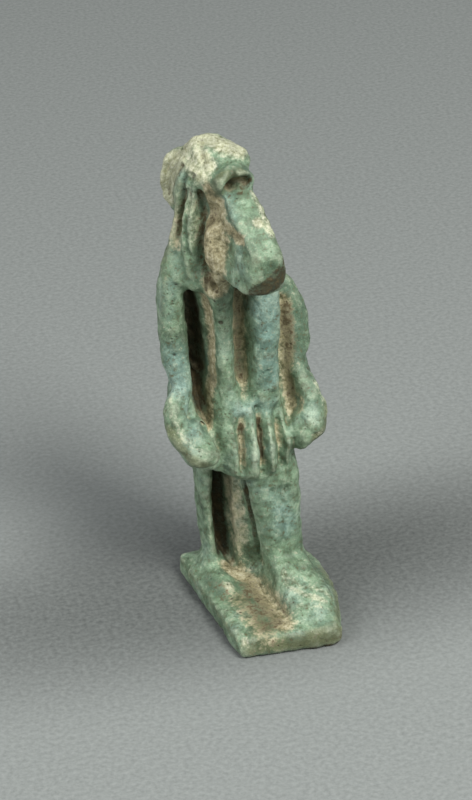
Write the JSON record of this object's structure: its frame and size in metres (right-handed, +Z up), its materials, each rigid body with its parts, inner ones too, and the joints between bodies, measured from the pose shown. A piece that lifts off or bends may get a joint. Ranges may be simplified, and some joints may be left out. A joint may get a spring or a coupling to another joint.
{
  "type": "deity amulet",
  "caption": "Small moulded faience amulet of a striding animal-headed deity with a heavy wig and pleated kilt, on a base with a pierced back pillar.",
  "frame": {"origin": "middle of the flat underside of the base", "axes": "+Z up, the figure faces -Y, and its left side is +X"},
  "size_m": [0.0123, 0.0143, 0.0387],
  "materials": {
    "faience": "worn satin"
  },
  "bodies": {
    "root": {"amulet": "faience"}
  },
  "joints": []
}
